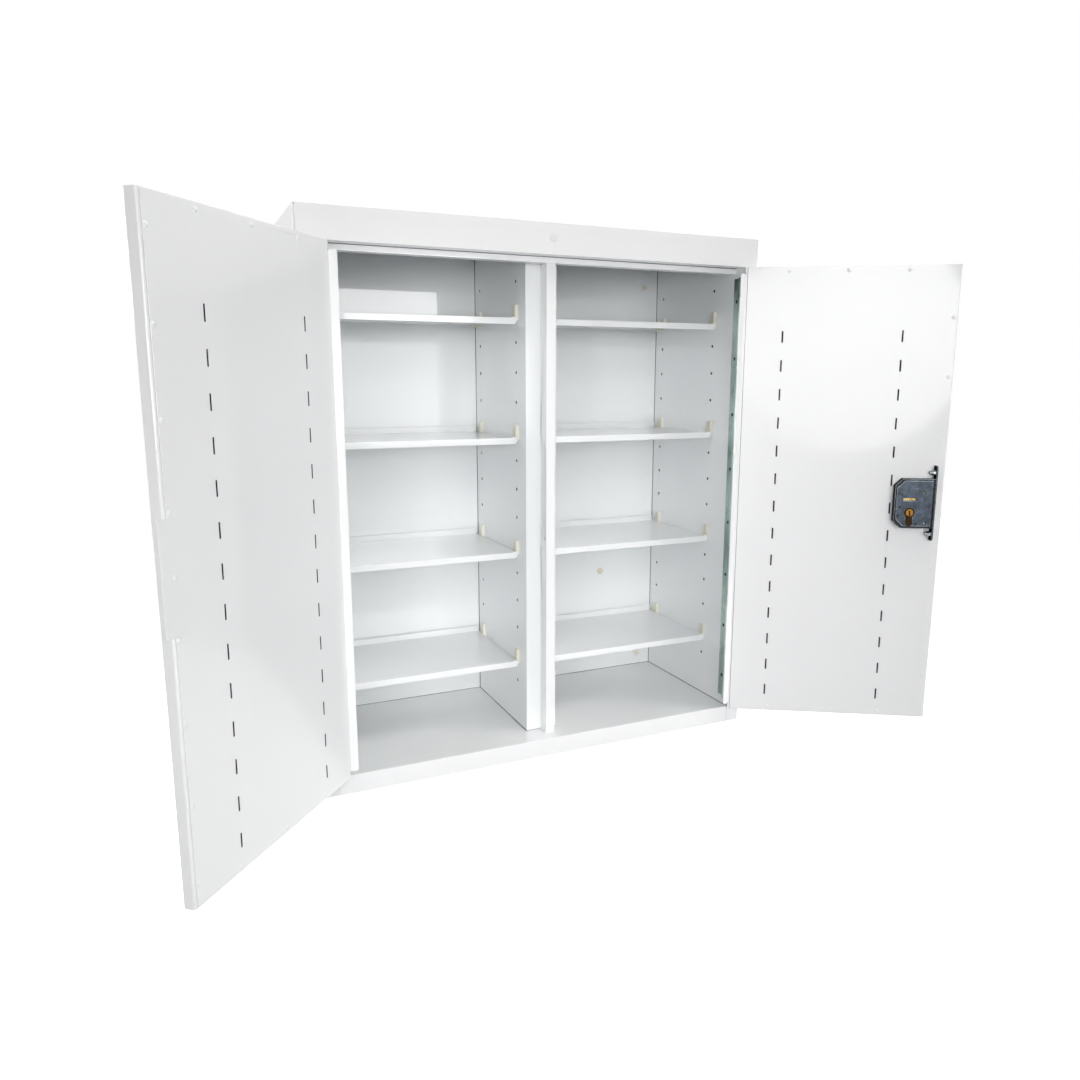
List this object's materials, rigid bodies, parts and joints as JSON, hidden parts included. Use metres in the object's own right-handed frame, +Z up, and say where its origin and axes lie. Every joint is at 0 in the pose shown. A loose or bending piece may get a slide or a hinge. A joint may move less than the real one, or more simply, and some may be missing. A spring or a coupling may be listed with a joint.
{
  "type": "lockable medicine cabinet",
  "caption": "White sheet-steel wall cabinet with hinged lockable doors open on a divided interior of adjustable shelves.",
  "frame": {"origin": "centre of the four wall-fixing holes, on the back face that lies against the wall", "axes": "+Z up, +Y into the wall, +X to the right seen from the front"},
  "size_m": [1.2862, 0.5844, 0.895],
  "materials": {
    "body_paint": "smooth semi-gloss white powder coat",
    "door_paint": "smooth semi-gloss white powder coat",
    "shelf_paint": "smooth semi-gloss white powder coat",
    "rivet_paint": "rivet heads painted over with the door",
    "plug_plastic": "white plastic plug",
    "ivory_plastic": "ivory plastic",
    "clip_plastic": "white plastic clip",
    "hinge_zinc": "zinc-plated steel with a pale green passivation",
    "pin_steel": "drawn steel wire",
    "screw_zinc": "bright zinc-plated steel",
    "lock_steel": "blue-grey plated steel, burnished at the edges",
    "forend_zinc": "zinc-plated steel strip",
    "bolt_brass": "dull brass",
    "cylinder_brass": "turned brass",
    "plug_brass": "turned brass",
    "cam_steel": "sintered steel",
    "escutcheon_steel": "brushed stainless steel"
  },
  "bodies": {
    "cabinet": {"back_panel": "body_paint", "cable_plug": "ivory_plastic", "left_side_panel": "body_paint", "right_side_panel": "body_paint", "left_inner_wall": "body_paint", "right_inner_wall": "body_paint", "top_panel": "body_paint", "fascia": "body_paint", "fascia_plug": "plug_plastic", "top_rail": "body_paint", "floor_panel": "body_paint", "bottom_panel": "body_paint", "sill": "body_paint", "wall_grommets": "ivory_plastic", "left_divider_wall": "body_paint", "right_divider_wall": "body_paint", "mullion_nose": "body_paint", "keep_plate": "body_paint", "keep_plate_screws": "screw_zinc", "shelf_left_1": "shelf_paint", "shelf_left_2": "shelf_paint", "shelf_left_3": "shelf_paint", "shelf_left_4": "shelf_paint", "shelf_right_1": "shelf_paint", "shelf_right_2": "shelf_paint", "shelf_right_3": "shelf_paint", "shelf_right_4": "shelf_paint", "left_shelf_clips": "clip_plastic", "right_shelf_clips": "clip_plastic", "left_hinge_body_leaf": "hinge_zinc", "left_hinge_pin": "pin_steel", "left_hinge_body_screws": "screw_zinc", "right_hinge_body_leaf": "hinge_zinc", "right_hinge_pin": "pin_steel", "right_hinge_body_screws": "screw_zinc"},
    "left_door": {"left_door_tray": "door_paint", "left_door_skin": "door_paint", "left_door_rivets": "rivet_paint", "left_hinge_door_leaf": "hinge_zinc", "left_hinge_door_screws": "screw_zinc"},
    "right_door": {"right_door_tray": "door_paint", "right_door_skin": "door_paint", "right_door_rivets": "rivet_paint", "right_hinge_door_leaf": "hinge_zinc", "right_hinge_door_screws": "screw_zinc", "lock_case": "lock_steel", "lock_cover": "lock_steel", "lock_forend": "forend_zinc", "forend_screws": "screw_zinc", "cylinder_body": "cylinder_brass", "cylinder_screw": "screw_zinc", "escutcheon": "escutcheon_steel"},
    "bolt": {"lock_bolt": "bolt_brass"},
    "plug": {"cylinder_plug": "plug_brass", "cylinder_cam": "cam_steel"}
  },
  "joints": [
    {"name": "left_door_hinge", "type": "hinge", "parent": "cabinet", "child": "left_door", "pos_m": [-0.367, -0.288, 0], "axis": [0, 0, 1], "range_deg": [-28.4, 131.6]},
    {"name": "right_door_hinge", "type": "hinge", "parent": "cabinet", "child": "right_door", "pos_m": [0.367, -0.288, 0], "axis": [0, 0, 1], "range_deg": [-149.2, 10.8]},
    {"name": "bolt_slide", "type": "slide", "parent": "right_door", "child": "bolt", "axis": [0.859, -0.512, 0], "range_m": [0, 0.014]},
    {"name": "plug_turn", "type": "hinge", "parent": "right_door", "child": "plug", "pos_m": [0.61977, -0.46197, -0.0272], "axis": [-0.512, -0.859, 0], "range_deg": [0, 360]}
  ],
  "couplings": [
    {"joint": "plug_turn", "follows": "bolt_slide", "rad_per_m": 448.8}
  ]
}
